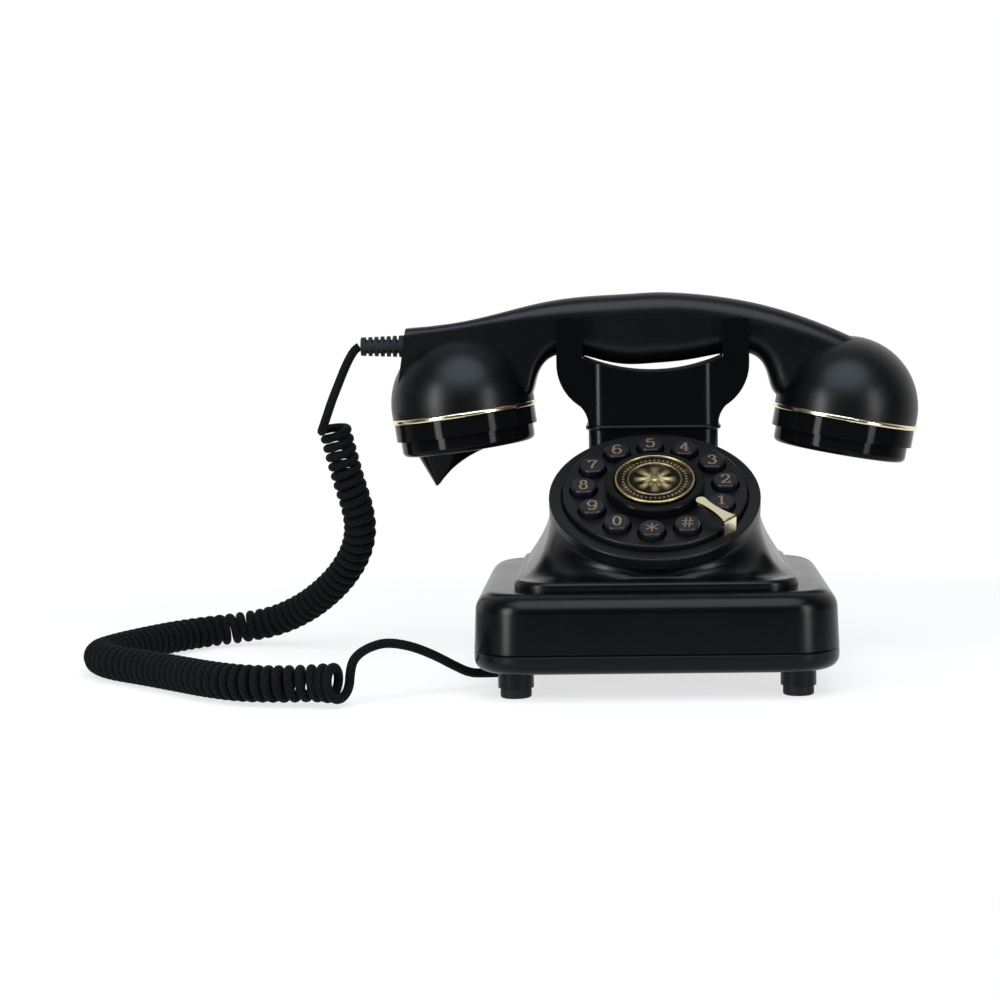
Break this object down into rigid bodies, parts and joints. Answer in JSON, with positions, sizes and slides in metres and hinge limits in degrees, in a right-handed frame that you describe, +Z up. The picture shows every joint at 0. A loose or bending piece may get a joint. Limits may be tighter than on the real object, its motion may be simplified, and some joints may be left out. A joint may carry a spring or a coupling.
{
  "type": "retro desk telephone",
  "caption": "Old-style desk telephone with a handset on a fork cradle, push keys set out as a dial ring, a rocking centre medallion, a gold finger stop and a curly cord.",
  "frame": {"origin": "on the floor under the middle of the base", "axes": "+X to the ear end of the handset, +Y to the back, +Z up"},
  "size_m": [0.3697, 0.1842, 0.165],
  "materials": {
    "body_black": "satin",
    "gloss_black": "gloss",
    "face_black": "satin",
    "key_black": "gloss with tan printed numerals",
    "gold_trim": "polished",
    "antique_brass": "aged and rubbed",
    "cord_braid": "braided",
    "soft_rubber": "matte",
    "inner_plastic": "matte",
    "steel": "plated",
    "board_green": "lacquered",
    "driver_cone": "matte"
  },
  "bodies": {
    "base": {"base_tray": "body_black", "base_feet": "soft_rubber", "base_cover": "body_black", "case_screws": "steel", "pedestal_shell": "body_black", "pedestal_screws": "steel", "dial_bezel": "face_black", "dial_face_plate": "face_black", "dial_collar": "gloss_black", "finger_stop": "gold_trim", "keypad_membrane": "soft_rubber", "keypad_board": "board_green", "cradle_front": "body_black", "cradle_rear": "body_black", "hook_spring": "steel", "hook_switch": "inner_plastic", "main_board": "board_green", "ringer_speaker": "driver_cone", "base_weights": "steel", "line_jack": "inner_plastic", "ringer_switch_body": "inner_plastic", "base_cord_gland": "soft_rubber", "cord_handset_lead": "cord_braid", "cord_curls": "cord_braid", "cord_base_lead": "cord_braid"},
    "handset": {"handset_shell": "body_black", "mouth_trim_ring": "gold_trim", "ear_trim_ring": "gold_trim", "mouth_cap": "gloss_black", "ear_cap": "gloss_black", "mic_capsule": "driver_cone", "ear_capsule": "driver_cone", "mouth_horn": "gloss_black", "handset_boot": "soft_rubber"},
    "hook": {"hook_yoke": "body_black"},
    "rocker": {"rocker_medallion": "antique_brass", "rocker_carrier": "inner_plastic", "rocker_pin": "steel"},
    "ringer_knob": {"ringer_switch_knob": "inner_plastic"},
    "key_5": {"key_5": "key_black"},
    "key_6": {"key_6": "key_black"},
    "key_7": {"key_7": "key_black"},
    "key_8": {"key_8": "key_black"},
    "key_9": {"key_9": "key_black"},
    "key_0": {"key_0": "key_black"},
    "key_star": {"key_star": "key_black"},
    "key_hash": {"key_hash": "key_black"},
    "key_1": {"key_1": "key_black"},
    "key_2": {"key_2": "key_black"},
    "key_3": {"key_3": "key_black"},
    "key_4": {"key_4": "key_black"}
  },
  "joints": [
    {"name": "handset_lift", "type": "slide", "parent": "base", "child": "handset", "axis": [0, 0, 1], "range_m": [0, 0.08]},
    {"name": "hook_travel", "type": "slide", "parent": "base", "child": "hook", "axis": [0, 0, 1], "range_m": [0, 0.004], "deforming": ["hook_spring"]},
    {"name": "medallion_rock", "type": "hinge", "parent": "base", "child": "rocker", "pos_m": [0, -0.02252, 0.08085], "axis": [1, 0, 0], "range_deg": [-3, 3], "stiffness_Nm_per_rad": 0.6},
    {"name": "ringer_slide", "type": "slide", "parent": "base", "child": "ringer_knob", "axis": [1, 0, 0], "range_m": [0, 0.004]},
    {"name": "press_5", "type": "slide", "parent": "base", "child": "key_5", "axis": [0, 0.5225, -0.8526], "range_m": [0, 0.0012], "stiffness_N_per_m": 400},
    {"name": "press_6", "type": "slide", "parent": "base", "child": "key_6", "axis": [0, 0.5225, -0.8526], "range_m": [0, 0.0012], "stiffness_N_per_m": 400},
    {"name": "press_7", "type": "slide", "parent": "base", "child": "key_7", "axis": [0, 0.5225, -0.8526], "range_m": [0, 0.0012], "stiffness_N_per_m": 400},
    {"name": "press_8", "type": "slide", "parent": "base", "child": "key_8", "axis": [0, 0.5225, -0.8526], "range_m": [0, 0.0012], "stiffness_N_per_m": 400},
    {"name": "press_9", "type": "slide", "parent": "base", "child": "key_9", "axis": [0, 0.5225, -0.8526], "range_m": [0, 0.0012], "stiffness_N_per_m": 400},
    {"name": "press_0", "type": "slide", "parent": "base", "child": "key_0", "axis": [0, 0.5225, -0.8526], "range_m": [0, 0.0012], "stiffness_N_per_m": 400},
    {"name": "press_star", "type": "slide", "parent": "base", "child": "key_star", "axis": [0, 0.5225, -0.8526], "range_m": [0, 0.0012], "stiffness_N_per_m": 400},
    {"name": "press_hash", "type": "slide", "parent": "base", "child": "key_hash", "axis": [0, 0.5225, -0.8526], "range_m": [0, 0.0012], "stiffness_N_per_m": 400},
    {"name": "press_1", "type": "slide", "parent": "base", "child": "key_1", "axis": [0, 0.5225, -0.8526], "range_m": [0, 0.0012], "stiffness_N_per_m": 400},
    {"name": "press_2", "type": "slide", "parent": "base", "child": "key_2", "axis": [0, 0.5225, -0.8526], "range_m": [0, 0.0012], "stiffness_N_per_m": 400},
    {"name": "press_3", "type": "slide", "parent": "base", "child": "key_3", "axis": [0, 0.5225, -0.8526], "range_m": [0, 0.0012], "stiffness_N_per_m": 400},
    {"name": "press_4", "type": "slide", "parent": "base", "child": "key_4", "axis": [0, 0.5225, -0.8526], "range_m": [0, 0.0012], "stiffness_N_per_m": 400}
  ],
  "couplings": [
    {"joint": "hook_travel", "follows": "handset_lift", "ratio": 0.05}
  ]
}
